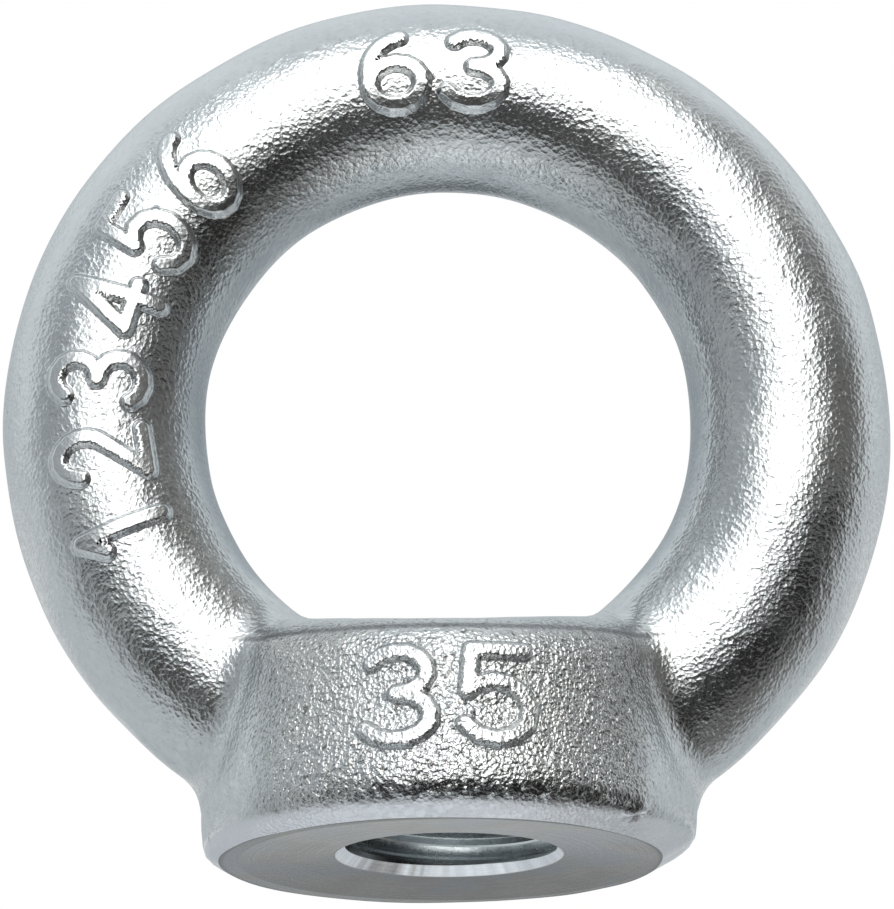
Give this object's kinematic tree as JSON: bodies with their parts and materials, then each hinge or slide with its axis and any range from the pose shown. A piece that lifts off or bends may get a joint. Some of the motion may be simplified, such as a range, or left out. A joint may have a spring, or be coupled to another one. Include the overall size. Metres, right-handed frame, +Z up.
{
  "type": "lifting eye nut",
  "caption": "Drop-forged eye on a round threaded foot, screwed onto a stud so that a hook or shackle can lift the load.",
  "frame": {"origin": "centre of the foot's seat, on the bore's axis, at the level that the seat rests on", "axes": "+Z up through the eye along the bore's axis; the eye lies in the XZ plane; the foot's front is towards -Y"},
  "size_m": [0.063, 0.035, 0.0631],
  "materials": {
    "zinc_plated_forging": "bright zinc plate over a blasted forging skin"
  },
  "bodies": {
    "root": {"eye_nut": "zinc_plated_forging"}
  },
  "joints": []
}
